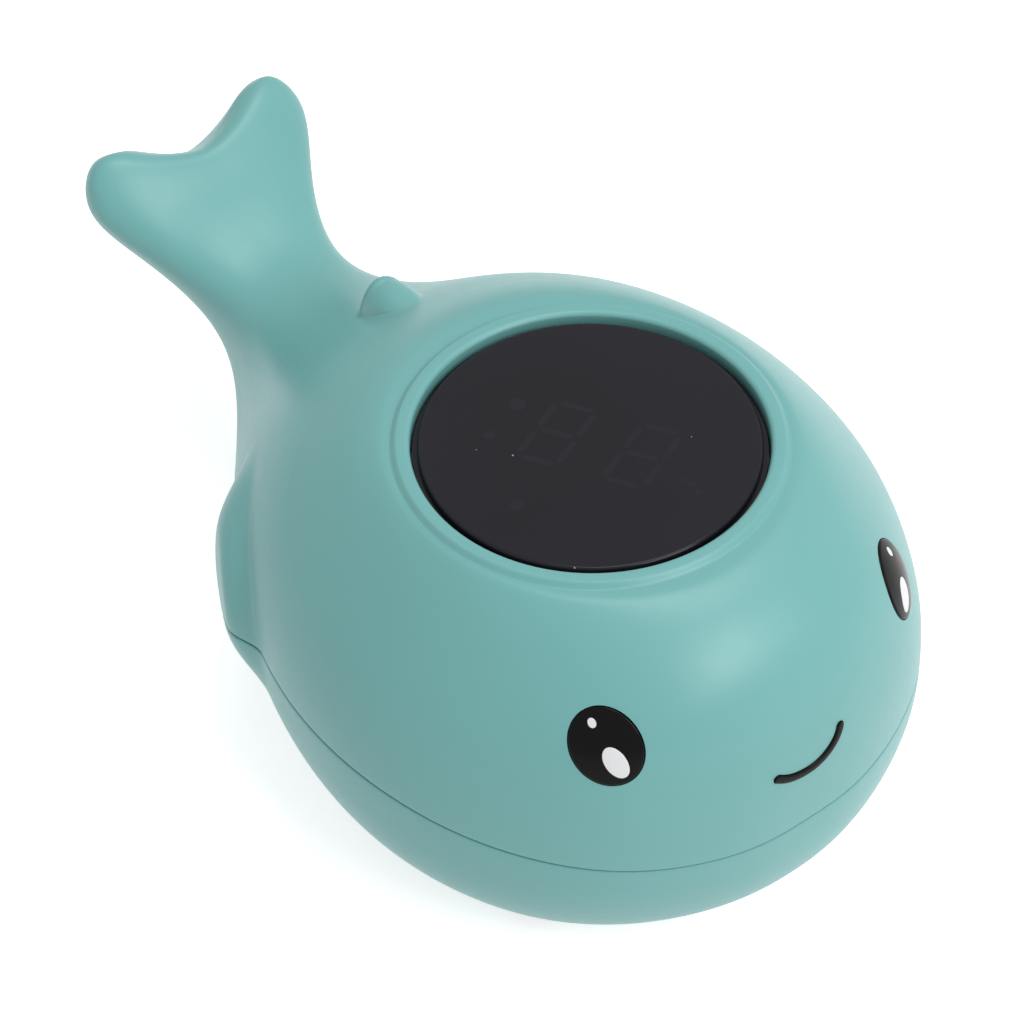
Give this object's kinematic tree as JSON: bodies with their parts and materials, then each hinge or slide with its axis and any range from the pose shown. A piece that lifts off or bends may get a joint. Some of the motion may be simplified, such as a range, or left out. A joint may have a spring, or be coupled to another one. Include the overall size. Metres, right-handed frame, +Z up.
{
  "type": "bath thermometer",
  "caption": "Floating whale-shaped baby bath thermometer with a raised tail, a round smoked display window in its back, oval inlaid eyes and a screwed battery door.",
  "frame": {"origin": "centre of the bounding box at its bottom, on the plane of the flat belly", "axes": "nose towards -Y, tail towards +Y, +Z up through the display window, the whale's right side towards -X"},
  "size_m": [0.0744, 0.1185, 0.0473],
  "materials": {
    "teal_plastic": "satin moulded plastic",
    "smoked_acrylic": "polished smoked acrylic",
    "black_foam": "closed-cell foam",
    "gloss_black": "gloss moulded plastic",
    "white_plastic": "satin moulded plastic",
    "silicone": "moulded silicone",
    "zinc_steel": "bright zinc plate",
    "nickel_contact": "nickel plate",
    "board_green": "solder mask over glass-epoxy",
    "chip_black": "moulded epoxy",
    "segment_grey": "diffusing film",
    "red_lens": "tinted epoxy",
    "blue_lens": "tinted epoxy",
    "cell_wrap": "unprinted shrink wrap over steel",
    "red_lead": "flexible insulation",
    "black_lead": "flexible insulation"
  },
  "bodies": {
    "root": {"upper_shell": "teal_plastic", "lower_shell": "teal_plastic", "battery_door": "teal_plastic", "display_lens": "smoked_acrylic", "lens_gasket": "black_foam", "eye_right": "gloss_black", "eye_left": "gloss_black", "mouth_inlay": "gloss_black", "eye_right_glint_large": "white_plastic", "eye_right_glint_small": "white_plastic", "eye_left_glint_large": "white_plastic", "eye_left_glint_small": "white_plastic", "shell_seal": "silicone", "door_seal": "silicone", "shell_screw_front_right": "zinc_steel", "shell_screw_front_left": "zinc_steel", "shell_screw_rear_right": "zinc_steel", "shell_screw_rear_left": "zinc_steel", "door_screw": "zinc_steel", "pcb_screw_1": "zinc_steel", "pcb_screw_2": "zinc_steel", "pcb_screw_3": "zinc_steel", "battery_spring_1": "zinc_steel", "battery_spring_2": "zinc_steel", "probe_cap": "zinc_steel", "water_contact_front": "zinc_steel", "water_contact_rear": "zinc_steel", "clock_crystal": "zinc_steel", "battery_1": "cell_wrap", "battery_2": "cell_wrap", "contact_bridge": "nickel_contact", "contact_positive": "nickel_contact", "contact_negative": "nickel_contact", "main_pcb": "board_green", "controller_chip": "chip_black", "filter_capacitor": "chip_black", "led_module": "chip_black", "thermistor": "chip_black", "digit_segments": "segment_grey", "status_led_hot": "red_lens", "status_led_cool": "blue_lens", "probe_lead_1": "black_lead", "probe_lead_2": "black_lead", "battery_lead_red": "red_lead", "battery_lead_black": "black_lead"}
  },
  "joints": []
}
